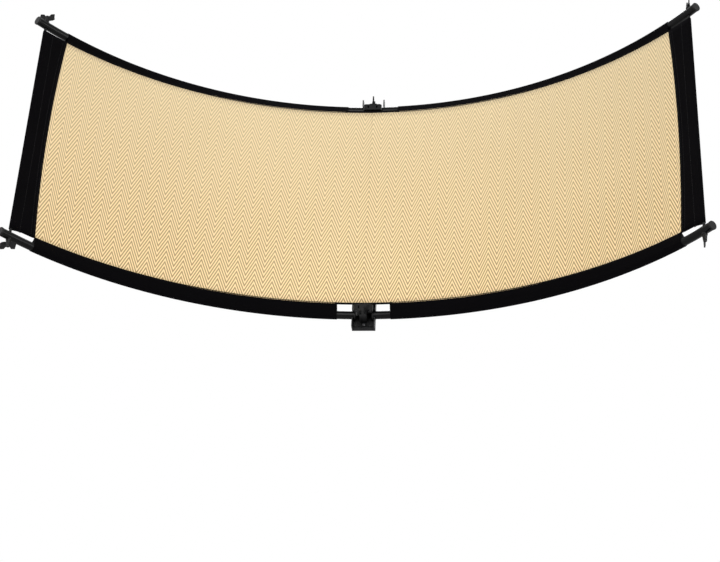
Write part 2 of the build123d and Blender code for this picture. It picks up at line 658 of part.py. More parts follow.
ear_face = knuckle_gap + BRACKET_PLATE
BOLT_HEAD_HEIGHT = 5.0
WASHER_THICKNESS = 1.6
LEVER_HUB_RADIUS = 9.0
LEVER_HUB_WIDTH = 12.0
with BuildPart() as bolt:
    with BuildSketch(Plane.YZ.offset(ear_face)):
        with Locations((0, TILT_AXIS_HEIGHT)):
            RegularPolygon(7.5, 6)
    extrude(amount=BOLT_HEAD_HEIGHT)
    with BuildSketch(Plane.YZ.offset(ear_face)):
        with Locations((0, TILT_AXIS_HEIGHT)):
            Circle(BOLT_RADIUS)
    extrude(amount=-(2 * ear_face + WASHER_THICKNESS + LEVER_HUB_WIDTH * 0.75))
save("tilt_bolt", bolt.part)

with BuildPart() as washer:
    with BuildSketch(Plane.YZ.offset(-ear_face)):
        with Locations((0, TILT_AXIS_HEIGHT)):
            Circle(LEVER_HUB_RADIUS)
            Circle(BOLT_RADIUS + CLEAR / 2, mode=Mode.SUBTRACT)
    extrude(amount=-WASHER_THICKNESS)
save("tilt_washer", washer.part)

lever_face = ear_face + WASHER_THICKNESS + CLEAR
LEVER_TIP_RADIUS = 5.0
with BuildPart() as lever:
    with BuildSketch(Plane.YZ.offset(-lever_face)):
        with Locations((0, TILT_AXIS_HEIGHT)):
            Circle(LEVER_HUB_RADIUS)
    extrude(amount=-LEVER_HUB_WIDTH)
    with BuildSketch(Plane.YZ.offset(-lever_face - LEVER_HUB_WIDTH * 0.6)):
        with BuildLine():
            CenterArc((0, TILT_AXIS_HEIGHT), LEVER_HUB_RADIUS - 1, 0, 360)
            CenterArc((LEVER_REACH, TILT_AXIS_HEIGHT - 12), LEVER_TIP_RADIUS, 0, 360)
        make_hull()
    extrude(amount=-LEVER_HUB_WIDTH * 0.4)
    with BuildSketch(Plane.YZ.offset(-lever_face)):
        with Locations((0, TILT_AXIS_HEIGHT)):
            Circle(BOLT_RADIUS + 0.1)
    extrude(amount=-LEVER_HUB_WIDTH * 0.8, mode=Mode.SUBTRACT)
    fillet(lever.edges().sort_by(Axis.X)[0], 1.2)
save("tilt_lock_lever", lever.part)
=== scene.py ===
import json
from math import acos, asin, atan2, cos, hypot, pi, radians, sin, sqrt

import bpy
import numpy as np
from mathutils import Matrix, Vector


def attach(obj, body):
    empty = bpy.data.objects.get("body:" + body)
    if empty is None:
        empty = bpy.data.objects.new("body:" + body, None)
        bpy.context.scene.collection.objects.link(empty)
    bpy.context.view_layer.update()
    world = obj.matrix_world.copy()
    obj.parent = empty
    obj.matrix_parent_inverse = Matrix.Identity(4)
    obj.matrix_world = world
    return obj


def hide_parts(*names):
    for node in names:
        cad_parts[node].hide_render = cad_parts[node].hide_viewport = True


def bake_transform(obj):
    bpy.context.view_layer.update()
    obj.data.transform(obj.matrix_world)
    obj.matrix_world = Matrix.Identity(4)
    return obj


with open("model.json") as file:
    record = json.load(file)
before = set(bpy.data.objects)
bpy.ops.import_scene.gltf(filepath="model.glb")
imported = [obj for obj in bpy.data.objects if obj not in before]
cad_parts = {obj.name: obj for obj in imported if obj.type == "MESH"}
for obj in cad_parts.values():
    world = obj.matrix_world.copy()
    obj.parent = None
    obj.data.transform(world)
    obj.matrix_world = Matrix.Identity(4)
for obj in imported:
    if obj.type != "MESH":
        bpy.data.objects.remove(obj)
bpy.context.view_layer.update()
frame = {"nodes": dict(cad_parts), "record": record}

scene = bpy.context.scene
NODES = frame["nodes"]
MM = 0.001

# ---- the reflector's own directions and sizes, in millimetres, as in the part's source ----
TILT_BACK = radians(27.0)   # lean of the reflector from upright
TILT_AXIS_HEIGHT = 68.0     # tilt axis above the socket's mouth
TUBES_AHEAD = 42.5          # tube axes in front of the tilt axis, at the middle
ACROSS = np.array([1.0, 0.0, 0.0])
UP = np.array([0.0, sin(TILT_BACK), cos(TILT_BACK)])
FRONT = np.array([0.0, -cos(TILT_BACK), sin(TILT_BACK)])
MIDDLE = np.array([0.0, 0.0, TILT_AXIS_HEIGHT]) + FRONT * TUBES_AHEAD

ARC_RADIUS = 945.0          # to the axis of the arched tubes
TUBE_RADIUS = 9.5
TUBE_LEVEL = 289.0          # tube axes above and below the middle
ROD_REACH = 849.0           # arc length from the middle to the spreader rods
ROD_RADIUS = 3.2
BAND_WIDTH = 59.0
NOTCH_HALF = 62.0           # half the gap in the sleeves at the middle
STANDOFF = 21.8             # cloth in front of the tube axes at the middle
CLOTH_END_STANDOFF = 4.2    # and at the spreader rods
CLOTH_HALF = 268.0          # half the reflecting cloth's height
BAND_HALF = 271.0
SIDES = {"left": -1, "right": 1}
LEVELS = {"lower": -1, "upper": 1}

ROD_ANGLE = ROD_REACH / ARC_RADIUS
ROD_X = ARC_RADIUS * sin(ROD_ANGLE)
ROD_N = ARC_RADIUS * (1 - cos(ROD_ANGLE))
end_x = (ARC_RADIUS - CLOTH_END_STANDOFF) * sin(ROD_ANGLE)
end_rise = ARC_RADIUS - (ARC_RADIUS - CLOTH_END_STANDOFF) * cos(ROD_ANGLE) - STANDOFF
CLOTH_RADIUS = (end_x**2 + end_rise**2) / (2 * end_rise)
CLOTH_END = asin(end_x / CLOTH_RADIUS)
ARC_OFFSET = STANDOFF + CLOTH_RADIUS - ARC_RADIUS
SLEEVE_START = NOTCH_HALF / ARC_RADIUS
SLEEVE_STOP = (ROD_REACH - BAND_WIDTH) / ARC_RADIUS
SLEEVE_SWEEP = SLEEVE_STOP - SLEEVE_START


def at(x, s, n):
    """Point x across, s up and n in front of the reflector's middle, in metres."""
    return (MIDDLE + ACROSS * x + UP * s + FRONT * n) * MM


def cloth_ahead(turn):
    """Cloth's distance in front of the tube's axis at an angle round the tube's arc."""
    return ARC_RADIUS - (sqrt(CLOTH_RADIUS**2 - (ARC_OFFSET * sin(turn)) ** 2) - ARC_OFFSET * cos(turn))


def cloth_turn(turn):
    """Angle round the cloth's arc in front of an angle round the tube's."""
    return asin((ARC_RADIUS - cloth_ahead(turn)) * sin(turn) / CLOTH_RADIUS)


def cloth_point(side, turn, s, lift=0.0):
    """Point of the cloth's middle surface, lifted to the front."""
    radius = CLOTH_RADIUS - lift
    return at(side * radius * sin(turn), s, STANDOFF + CLOTH_RADIUS - radius * cos(turn))


def cloth_normal(side, turn):
    return ACROSS * (-side * sin(turn)) + FRONT * cos(turn)


def tube_point(side, level, turn):
    """Point on the axis of an arched tube."""
    return at(side * ARC_RADIUS * sin(turn), level * TUBE_LEVEL, ARC_RADIUS * (1 - cos(turn)))


def as_grid(rows, points, normals, uv):
    """Points, normals and uv arranged in rows, as slab takes them."""
    sizes = ((points, 3), (normals, 3), (uv, 2))
    return tuple(np.array(values).reshape(rows, -1, size) for values, size in sizes)


# ---- mesh helpers ----
def make_object(name, verts, faces, uvs=None, indices=None, smooth=True):
    """Mesh object from vertices, faces, one uv per face corner and a material index per face."""
    mesh = bpy.data.meshes.new(name)
    mesh.from_pydata([tuple(v) for v in verts], [], [tuple(f) for f in faces])
    if uvs is not None:
        layer = mesh.uv_layers.new(name="cloth")
        layer.data.foreach_set("uv", np.asarray(uvs, dtype=np.float32).ravel())
    if indices is not None:
        mesh.polygons.foreach_set("material_index", np.asarray(indices, dtype=np.int32))
    mesh.polygons.foreach_set("use_smooth", np.full(len(mesh.polygons), smooth))
    mesh.update()
    obj = bpy.data.objects.new(name, mesh)
    scene.collection.objects.link(obj)
    return obj


def slab(name, points, normals, uv, thickness, flip=False):
    """Thin closed sheet round a grid of points: material 0 in front, 1 behind, 2 on its edges."""
    rows, cols = points.shape[:2]
    half = thickness * MM / 2
    front_pts = (points + normals * half).reshape(-1, 3)
    back_pts = (points - normals * half).reshape(-1, 3)
    verts = np.concatenate([front_pts, back_pts])
    flat_uv = uv.reshape(-1, 2)
    count = rows * cols
    faces, uvs, indices = [], [], []

    def put(face, index):
        if flip:
            face = face[::-1]
        faces.append(face)
        uvs.extend(flat_uv[k % count] for k in face)
        indices.append(index)

    for i in range(rows - 1):
        for j in range(cols - 1):
            a, b, c, d = i * cols + j, (i + 1) * cols + j, (i + 1) * cols + j + 1, i * cols + j + 1
            put([a, b, c, d], 0)
            put([count + d, count + c, count + b, count + a], 1)
    for i in range(rows - 1):
        a, b = i * cols, (i + 1) * cols
        put([count + a, count + b, b, a], 2)
        a, b = a + cols - 1, b + cols - 1
        put([a, b, count + b, count + a], 2)
    for j in range(cols - 1):
        a, b = j, j + 1
        put([a, b, count + b, count + a], 2)
        a, b = (rows - 1) * cols + j, (rows - 1) * cols + j + 1
        put([count + a, count + b, b, a], 2)
    return make_object(name, verts, faces, uvs, indices)


def dress(obj, *materials):
    for material in materials:
        obj.data.materials.append(material)
    return obj


# ---- materials ----
def new_material(name):
    material = bpy.data.materials.new(name)
    material.use_nodes = True
    tree = material.node_tree
    return material, tree, tree.nodes["Principled BSDF"]


def node(tree, kind, **settings):
    made = tree.nodes.new(kind)
    for key, value in settings.items():
        if key in made.inputs:
            made.inputs[key].default_value = value
        else:
            setattr(made, key, value)
    return made


def math(tree, operation, a, b=0.0):
    made = tree.nodes.new("ShaderNodeMath")
    made.operation = operation
    for socket, value in zip(made.inputs, (a, b)):
        if isinstance(value, (int, float)):
            socket.default_value = value
        else:
            tree.links.new(value, socket)
    return made.outputs[0]


def mix_colour(tree, factor, a, b):
    made = tree.nodes.new("ShaderNodeMix")
    made.data_type = "RGBA"
    for socket, value in ((made.inputs[0], factor), (made.inputs[6], a), (made.inputs[7], b)):
        if isinstance(value, (int, float)):
            socket.default_value = value
        elif isinstance(value, tuple):
            socket.default_value = (*value, 1.0)
        else:
            tree.links.new(value, socket)
    return made.outputs[2]


def remap(tree, value, low, high, to_low, to_high, smooth=False):
    made = node(tree, "ShaderNodeMapRange", interpolation_type="SMOOTHSTEP" if smooth else "LINEAR")
    tree.links.new(value, made.inputs["Value"])
    for key, number in zip(("From Min", "From Max", "To Min", "To Max"), (low, high, to_low, to_high)):
        made.inputs[key].default_value = number
    return made.outputs[0]


def coordinates(tree, uv=False):
    """Object coordinates, or the cloth's own in metres."""
    if uv:
        return node(tree, "ShaderNodeUVMap", uv_map="cloth").outputs[0]
    return tree.nodes.new("ShaderNodeTexCoord").outputs["Object"]


def split_xyz(tree, vector):
    made = tree.nodes.new("ShaderNodeSeparateXYZ")
    tree.links.new(vector, made.inputs[0])
    return made.outputs


def mix_shader(tree, factor, below, above):
    """The shader below where the factor is 0, and the one above where it is 1."""
    made = tree.nodes.new("ShaderNodeMixShader")
    for socket, value in zip(made.inputs, (factor, below, above)):
        tree.links.new(value, socket)
    return made.outputs[0]


def noise_of(tree, vector, scale, detail=3.0, roughness=0.55, stretch=None):
    if stretch:
        mapping = node(tree, "ShaderNodeMapping")
        mapping.inputs["Scale"].default_value = stretch
        tree.links.new(vector, mapping.inputs["Vector"])
        vector = mapping.outputs[0]
    made = node(tree, "ShaderNodeTexNoise", Scale=scale, Detail=detail, Roughness=roughness)
    tree.links.new(vector, made.inputs["Vector"])
    return made.outputs[0]


def bump(tree, shader, height, distance, strength=1.0, under=None):
    made = node(tree, "ShaderNodeBump", Strength=strength, Distance=distance)
    tree.links.new(height, made.inputs["Height"])
    if under is not None:
        tree.links.new(under, made.inputs["Normal"])
    if shader is not None:
        tree.links.new(made.outputs[0], shader.inputs["Normal"])
    return made.outputs[0]


def woven(tree, vector, threads):
    """Height of a plain weave of that many threads to the metre."""
    place = split_xyz(tree, vector)
    turn = threads * pi
    warp = math(tree, "SINE", math(tree, "MULTIPLY", place[0], turn))
    weft = math(tree, "SINE", math(tree, "MULTIPLY", place[1], turn))
    over = math(tree, "MULTIPLY", warp, weft)
    rib = math(tree, "MAXIMUM", math(tree, "ABSOLUTE", warp), math(tree, "ABSOLUTE", weft))
    return math(tree, "ADD", math(tree, "MULTIPLY", over, 0.5), rib)


# the zigzag, in metres over the cloth
ZIGZAG_WIDTH = 0.0419       # from one peak to the next, along the cloth
ZIGZAG_RISE = 0.048         # from a valley to a peak
LINE_PITCH = 0.0141         # from one cream line to the next, up the cloth
ZIGZAG_TURN = radians(1.0)  # lean of the columns
ZIGZAG_WOBBLE = 0.0016      # unevenness of the columns
FADE_HALF = 0.27            # the lines fade from this far below the middle to this far above it
CREAM = (0.965, 0.745, 0.425)
TAN = (0.365, 0.236, 0.098)
WORN = (0.80, 0.62, 0.34)
WARM = (0.95, 0.80, 0.52)
PALE = (0.80, 0.675, 0.435)
GOLD_THREADS = 1300.0       # threads to the metre


def gold_material():
    """Cream zigzag lines on tan cloth, paler toward the upper edge."""
    material, tree, shader = new_material("gold_zigzag_cloth")
    cloth = coordinates(tree, uv=True)
    turned = node(tree, "ShaderNodeVectorRotate", rotation_type="Z_AXIS")
    turned.inputs["Angle"].default_value = ZIGZAG_TURN
    tree.links.new(cloth, turned.inputs["Vector"])
    column = split_xyz(tree, turned.outputs[0])
    wobble = math(tree, "SUBTRACT", noise_of(tree, cloth, 22.0, 2.0), 0.5)
    u = math(tree, "ADD", column[0], math(tree, "MULTIPLY", wobble, ZIGZAG_WOBBLE))
    wave = math(tree, "PINGPONG", math(tree, "DIVIDE", u, ZIGZAG_WIDTH / 2), 1.0)
    level = math(tree, "ADD", column[1], math(tree, "MULTIPLY", wave, ZIGZAG_RISE))
    lines = math(tree, "SINE", math(tree, "MULTIPLY", level, 2 * pi / LINE_PITCH))
    cream = remap(tree, lines, -0.55, 0.35, 0.0, 1.0, smooth=True)
    mottle = noise_of(tree, cloth, 260.0, 3.0)
    slow = noise_of(tree, cloth, 3.0, 2.0)
    base = mix_colour(tree, cream, TAN, CREAM)
    worn = mix_colour(tree, remap(tree, mottle, 0.35, 0.7, 0.0, 0.16), base, WORN)
    fade = remap(tree, split_xyz(tree, cloth)[1], -FADE_HALF, FADE_HALF, 0.0, 0.5)
    faded = mix_colour(tree, fade, worn, PALE)
    final = mix_colour(tree, remap(tree, slow, 0.35, 0.7, 0.0, 0.06), faded, WARM)
    tree.links.new(final, shader.inputs["Base Color"])
    tree.links.new(remap(tree, cream, 0, 1, 0.62, 0.48), shader.inputs["Roughness"])
    shader.inputs["Specular IOR Level"].default_value = 0.28
    shader.inputs["Sheen Weight"].default_value = 0.12
    shader.inputs["Sheen Roughness"].default_value = 0.5
    fine = bump(tree, None, woven(tree, cloth, GOLD_THREADS), 0.0001, 0.35)
    bump(tree, shader, cream, 0.0006, 0.5, under=fine)
    return material


def cloth_material(name, colour, painted_highlight_and_dust, threads, sheen=0.03, rough=0.9, specular=0.05):
    """Woven cloth: painted shade between its threads and a painted highlight on top of them."""
    material, tree, shader = new_material(name)
    cloth = coordinates(tree, uv=True)
    weave = woven(tree, cloth, threads)
    crumple = noise_of(tree, cloth, 38.0, 4.0, 0.6, stretch=(1.0, 2.2, 1.0))
    dust = noise_of(tree, cloth, 9.0, 3.0)
    # painted shade in the weave's hollows and painted highlight on its thread tops
    tone = mix_colour(tree, remap(tree, weave, 0.4, 1.5, 0.0, 1.0), colour, painted_highlight_and_dust)
    # dust spots, in the same colour as the painted highlight
    faded = mix_colour(tree, remap(tree, dust, 0.45, 0.75, 0.0, 0.35), tone, painted_highlight_and_dust)
    tree.links.new(faded, shader.inputs["Base Color"])
    tree.links.new(remap(tree, weave, 0.4, 1.5, rough, rough - 0.18), shader.inputs["Roughness"])
    shader.inputs["Specular IOR Level"].default_value = specular
    shader.inputs["Sheen Weight"].default_value = sheen
    shader.inputs["Sheen Roughness"].default_value = 0.45
    shader.inputs["Sheen Tint"].default_value = (0.55, 0.50, 0.62, 1.0)
    coarse = bump(tree, None, crumple, 0.0012, 0.5)
    bump(tree, shader, weave, 0.00018, 0.6, under=coarse)
    return material


def paint_material(name, colour, chip, rough, specular, grain=2600.0, depth=0.00004, metallic=0.0, coat=0.0):
    """Painted, moulded or cast surface with a fine grain, faint smears and rubbed spots."""
    material, tree, shader = new_material(name)
    place = coordinates(tree)
    speck = noise_of(tree, place, grain, 2.0)
    smear = noise_of(tree, place, 45.0, 4.0, 0.6)
    tone = mix_colour(tree, remap(tree, smear, 0.5, 0.75, 0.0, 0.5), colour, chip)
    tree.links.new(tone, shader.inputs["Base Color"])
    roughness = remap(tree, smear, 0.3, 0.7, rough * 0.8, min(1.0, rough * 1.3))
    tree.links.new(roughness, shader.inputs["Roughness"])
    shader.inputs["Specular IOR Level"].default_value = specular
    shader.inputs["Metallic"].default_value = metallic
    shader.inputs["Coat Weight"].default_value = coat
    shader.inputs["Coat Roughness"].default_value = 0.12
    bump(tree, shader, speck, depth, 0.6)
    return material


def metal_material(name, colour, rough, along=(1.0, 1.0, 1.0), specular=0.5):
    """Bare or plated metal with drawn lines along one direction."""
    material, tree, shader = new_material(name)
    place = coordinates(tree)
    drawn = noise_of(tree, place, 900.0, 3.0, 0.6, stretch=along)
    smear = noise_of(tree, place, 60.0, 3.0)
    darker = tuple(c * 0.7 for c in colour)
    tone = mix_colour(tree, remap(tree, smear, 0.3, 0.75, 0.0, 0.6), colour, darker)
    tree.links.new(tone, shader.inputs["Base Color"])
    tree.links.new(remap(tree, drawn, 0.3, 0.7, rough * 0.75, rough * 1.3), shader.inputs["Roughness"])
    shader.inputs["Metallic"].default_value = 1.0
    shader.inputs["Specular IOR Level"].default_value = specular
    bump(tree, shader, drawn, 0.00003, 0.5)
    return material


# colours are the cloth's or paint's own, then the cloth's painted highlight on its thread tops and its dust,
# or the paint's rubbed spots
GOLD = gold_material()
BLACK_CLOTH = cloth_material(
    "black_sleeve_cloth", (0.0012, 0.0011, 0.0013), (0.0034, 0.0031, 0.0040), threads=1500.0,
    sheen=0.012, rough=0.9, specular=0.022,
)
BLACK_BACKING = cloth_material(
    "black_backing_cloth", (0.011, 0.011, 0.0118), (0.026, 0.0255, 0.027), threads=1100.0,
    sheen=0.10, rough=0.85, specular=0.16,
)
BLACK_TAPE = cloth_material(
    "black_hem_tape", (0.0018, 0.0018, 0.002), (0.007, 0.0068, 0.0075), threads=2200.0,
)
THREAD = cloth_material(
    "black_thread", (0.006, 0.006, 0.0065), (0.022, 0.022, 0.024), threads=3000.0,
    sheen=0.05, rough=0.6, specular=0.3,
)
MATERIALS = {
    "gloss_black_tube": paint_material(
        "gloss_black_paint", (0.0022, 0.0022, 0.0025), (0.004, 0.004, 0.0045),
        rough=0.2, specular=0.12,
    ),
    "black_anodised": paint_material(
        "black_anodised_alloy", (0.006, 0.006, 0.0068), (0.011, 0.011, 0.012),
        rough=0.42, specular=0.3, metallic=0.3,
    ),
    "black_steel": paint_material(
        "black_oxide_steel", (0.006, 0.006, 0.0065), (0.014, 0.013, 0.013),
        rough=0.4, specular=0.35, metallic=0.4,
    ),
    "dark_steel": metal_material("dark_plated_steel", (0.10, 0.10, 0.105), rough=0.32),
    "black_plastic": paint_material(
        "black_moulded_plastic", (0.0035, 0.0035, 0.0038), (0.008, 0.008, 0.0085),
        rough=0.34, specular=0.2,
    ),
    "black_casting": paint_material(
        "black_cast_alloy", (0.0055, 0.0055, 0.006), (0.014, 0.014, 0.0145),
        rough=0.45, specular=0.22, grain=1300.0, depth=0.0001,
    ),
    "friction_fibre": paint_material(
        "friction_fibre", (0.06, 0.045, 0.035), (0.10, 0.08, 0.06),
        rough=0.85, specular=0.2,
    ),
    "brass": metal_material("brass", (0.75, 0.55, 0.24), rough=0.3),
    "black_fabric": BLACK_CLOTH,
    "gold_zigzag_fabric": GOLD,
}
for row in frame["record"]["subparts"]:
    shown = NODES[row["node"]]
    material = MATERIALS[row["material_slot"]]
    if not shown.material_slots:
        shown.data.materials.append(material)
    for slot in shown.material_slots:
        slot.material = material


# ---- the reflecting cloth: one sheet, drawn in two halves that meet at the middle ----
CLOTH_THICKNESS = 0.9
CLOTH_TUCK = 2.2            # cloth hidden in the seam of the sleeves
EDGE_TUCK = 4.0             # cloth hidden under an end band
BAND_BOW = 11.0             # an end band narrows by this much half way up
FINE_LENGTH = 40.0          # the grid is finer this far from the middle, where the cloth bends
FINE_POINTS = 17
CLOTH_POINTS = 96
CLOTH_ROWS = 30
BAND_START = CLOTH_RADIUS * cloth_turn(SLEEVE_STOP)


def band_edge(s):
    """Length along the cloth where the end band begins, at a level."""
    share = min(max(s, -CLOTH_HALF), CLOTH_HALF) / CLOTH_HALF
    return BAND_START + BAND_BOW * (1 - share**2)


def gold_grid(side):
    """Grid of points, normals and uv over one half of the reflecting cloth."""
    points, normals, uv = [], [], []
    for s in np.linspace(-CLOTH_HALF - CLOTH_TUCK, CLOTH_HALF + CLOTH_TUCK, CLOTH_ROWS):
        near = np.linspace(0, FINE_LENGTH, FINE_POINTS)
        far = np.linspace(FINE_LENGTH, band_edge(s) + EDGE_TUCK, CLOTH_POINTS)
        for length in [*near, *far[1:]]:
            turn = length / CLOTH_RADIUS
            points.append(cloth_point(side, turn, s))
            normals.append(cloth_normal(side, turn))
            uv.append((side * length * MM, s * MM))
    return as_grid(CLOTH_ROWS, points, normals, uv)


def hinge_blend(obj):
    """Bakes the object's placement into its mesh."""
    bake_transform(obj)


for side_name, side in SIDES.items():
    gold = slab(f"gold_cloth_{side_name}", *gold_grid(side), CLOTH_THICKNESS, flip=side > 0)
    dress(gold, GOLD, BLACK_BACKING, BLACK_TAPE)
    hinge_blend(gold)
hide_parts("reflector_panel_left", "reflector_panel_centre")
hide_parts("reflector_panel_right")


# ---- hems of the notches in the sleeves: a folded tape along the cloth's edge ----
HEM_WIDTH = 4.7
HEM_LIFT = 1.15             # half the folded tape's thickness
HEM_GAP = 0.3               # between the cloth's edge and the hem
HEM_LAP = 6.0               # hem past the notch, inside the sleeve
HEM_MIDDLE = CLOTH_HALF + HEM_GAP + HEM_WIDTH / 2
HEM_LENGTHS = np.linspace(0, CLOTH_RADIUS * cloth_turn(SLEEVE_START) + HEM_LAP, 41)
HEM_SECTION = [             # across and ahead, as shares of the width and the lift
    (0.5, 0.55), (0.42, 1), (-0.42, 1), (-0.5, 0.55),
    (-0.5, -0.55), (-0.42, -1), (0.42, -1), (0.5, -0.55),
]
HEM_RING = len(HEM_SECTION)


def add_hem(side, level, verts, faces, uvs):
    """One half of a hem, from the middle into a sleeve."""
    first = len(verts)
    for length in HEM_LENGTHS:
        for across_hem, lift in HEM_SECTION:
            s = level * HEM_MIDDLE + across_hem * HEM_WIDTH
            verts.append(cloth_point(side, length / CLOTH_RADIUS, s, lift * HEM_LIFT))
    for step in range(len(HEM_LENGTHS) - 1):
        here = first + step * HEM_RING
        ahead = here + HEM_RING
        for j in range(HEM_RING):
            k = (j + 1) % HEM_RING
            quad = [here + j, here + k, ahead + k, ahead + j]
            if side < 0:
                quad = quad[::-1]
            faces.append(quad)
            for corner in quad:
                row, spot = divmod(corner - first, HEM_RING)
                uvs.append((HEM_LENGTHS[row] * MM, sum(HEM_SECTION[spot]) * HEM_WIDTH * MM))
    for start, turned in ((first, side > 0), (len(verts) - HEM_RING, side < 0)):
        cap = list(range(start, start + HEM_RING))
        faces.append(cap[::-1] if turned else cap)
        uvs.extend([(0, 0)] * HEM_RING)


for side_name, side in SIDES.items():
    verts, faces, uvs = [], [], []
    for level in LEVELS.values():
        add_hem(side, level, verts, faces, uvs)
    hem = dress(make_object(f"notch_hems_tape_{side_name}", verts, faces, uvs), BLACK_TAPE)
    hinge_blend(hem)
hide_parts("notch_hems_left", "notch_hems_centre")
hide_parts("notch_hems_right")


# ---- sleeves round the tubes ----
SLEEVE_CLOTH = 0.7
WRAP_CLEAR = 0.35           # between a tube or rod and the cloth round it
WRAP_RADIUS = TUBE_RADIUS + WRAP_CLEAR + SLEEVE_CLOTH / 2
SEAM_IN = 20.9              # seam's edge from the tube's axis, along the cloth
SEAM_SPREAD = CLOTH_THICKNESS / 2 + SLEEVE_CLOTH / 2
SLEEVE_STEPS = 120
STRAIGHT_STEPS = 9
ROUND_STEPS = 18


def straight_run(seam, touch):
    """Points and normals from a seam to where the cloth touches the tube, without that one."""
    normal = (cos(touch), sin(touch))
    path = []
    for step in range(STRAIGHT_STEPS):
        share = step / STRAIGHT_STEPS
        a, b = (start + (WRAP_RADIUS * way - start) * share for start, way in zip(seam, normal))
        path.append((a, b, *normal))
    return path


def wrap_path(ahead):
    """Section of a sleeve as (inward, ahead, normal inward, normal ahead), seam front to back."""
    ends = []
    for sense in (1, -1):
        seam = (SEAM_IN, ahead + sense * SEAM_SPREAD)
        touch = atan2(seam[1], seam[0]) + sense * acos(WRAP_RADIUS / hypot(*seam))
        ends.append((seam, touch))
    start, stop = ends[0][1], ends[1][1] + 2 * pi
    path = straight_run(*ends[0])
    for step in range(ROUND_STEPS + 1):
        angle = start + (stop - start) * step / ROUND_STEPS
        path.append((WRAP_RADIUS * cos(angle), WRAP_RADIUS * sin(angle), cos(angle), sin(angle)))
    return path + straight_run(*ends[1])[::-1]


def sleeve_grid(side, level):
    """A sleeve's grid of points, normals and uv, and its unrolled width at each step, in metres."""
    points, normals, uv, widths = [], [], [], []
    inward = UP * -level
    for step in range(SLEEVE_STEPS + 1):
        turn = SLEEVE_START + SLEEVE_SWEEP * step / SLEEVE_STEPS
        path = wrap_path(cloth_ahead(turn))
        ahead = cloth_normal(side, turn)
        centre = tube_point(side, level, turn)
        run = 0.0
        for k, (a, b, na, nb) in enumerate(path):
            if k:
                run += hypot(a - path[k - 1][0], b - path[k - 1][1])
            points.append(centre + (inward * a + ahead * b) * MM)
            normals.append(inward * na + ahead * nb)
            uv.append((ARC_RADIUS * turn * MM, run * MM))
        widths.append(run * MM)
    return as_grid(SLEEVE_STEPS + 1, points, normals, uv), widths


for level_name, level in LEVELS.items():
    for side_name, side in SIDES.items():
        grid, widths = sleeve_grid(side, level)
        sleeve = slab(f"{level_name}_{side_name}_cloth_sleeve", *grid, SLEEVE_CLOTH, flip=side * level < 0)
        dress(sleeve, BLACK_CLOTH, BLACK_BACKING, BLACK_TAPE)
        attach(sleeve, f"{side_name}_wing")
        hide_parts(f"{level_name}_{side_name}_sleeve")


# ---- end bands: a strip folded round the spreader rod ----
BAND_CLOTH = 0.8
BAND_OVER_CLOTH = BAND_CLOTH / 2 + CLOTH_THICKNESS / 2
LAP_LENGTH = EDGE_TUCK + 3  # the band comes down off the gold cloth over this length
POCKET_RADIUS = ROD_RADIUS + WRAP_CLEAR + BAND_CLOTH / 2
POCKET_DEPTH = 17.0         # pocket's seam, in from the rod
POCKET_GAP = 0.15           # between the pocket's two layers at the seam
POCKET_ALLOWANCE = 7.0      # cloth past the pocket's seam
BAND_ROWS = 40
FLAT_STEPS = 15
POCKET_STEPS = 24
RETURN_STEPS = 6
ALLOWANCE_STEPS = 3


def band_row(side, s):
    """Points and normals of an end band at a level: over the cloth, round the rod and back in."""
    outward = ACROSS * (side * cos(ROD_ANGLE)) + FRONT * sin(ROD_ANGLE)
    inward = cloth_normal(side, ROD_ANGLE)
    rod = at(side * ROD_X, s, ROD_N)
    row, normals = [], []
    start = band_edge(s)
    for length in np.linspace(start, CLOTH_RADIUS * CLOTH_END, FLAT_STEPS + 1)[:-1]:
        turn = length / CLOTH_RADIUS
        lap = max(0.0, 1 - (length - start) / LAP_LENGTH)
        row.append(cloth_point(side, turn, s, BAND_OVER_CLOTH * lap))
        normals.append(cloth_normal(side, turn))
    seam = (-POCKET_DEPTH, CLOTH_END_STANDOFF - BAND_CLOTH - POCKET_GAP)
    touch = atan2(seam[1], seam[0]) + acos(POCKET_RADIUS / hypot(*seam))
    sweep = pi / 2 - (touch - 2 * pi)
    for step in range(POCKET_STEPS + 1):
        angle = pi / 2 - sweep * step / POCKET_STEPS
        direction = outward * cos(angle) + inward * sin(angle)
        row.append(rod + direction * POCKET_RADIUS * MM)
        normals.append(direction)
    contact = (POCKET_RADIUS * cos(touch), POCKET_RADIUS * sin(touch))
    for step in range(1, RETURN_STEPS + 1):
        a, b = (near + (far - near) * step / RETURN_STEPS for near, far in zip(contact, seam))
        row.append(rod + (outward * a + inward * b) * MM)
        normals.append(outward * cos(touch) + inward * sin(touch))
    for step in range(1, ALLOWANCE_STEPS + 1):
        a = seam[0] - POCKET_ALLOWANCE * step / ALLOWANCE_STEPS
        row.append(rod + (outward * a + inward * seam[1]) * MM)
        normals.append(-inward)
    return row, normals


for side_name, side in SIDES.items():
    points, normals, uv = [], [], []
    for s in np.linspace(-BAND_HALF, BAND_HALF, BAND_ROWS):
        row, row_normals = band_row(side, s)
        runs = np.cumsum([0.0] + [np.linalg.norm(b - a) for a, b in zip(row, row[1:])])
        points.append(row)
        normals.append(row_normals)
        uv.append([(run, s * MM) for run in runs])
    grid = as_grid(BAND_ROWS, points, normals, uv)
    band = slab(f"end_band_cloth_{side_name}", *grid, BAND_CLOTH, flip=side > 0)
    dress(band, BLACK_CLOTH, BLACK_BACKING, BLACK_TAPE)
    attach(band, f"{side_name}_wing")
    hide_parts(f"end_band_{side_name}")


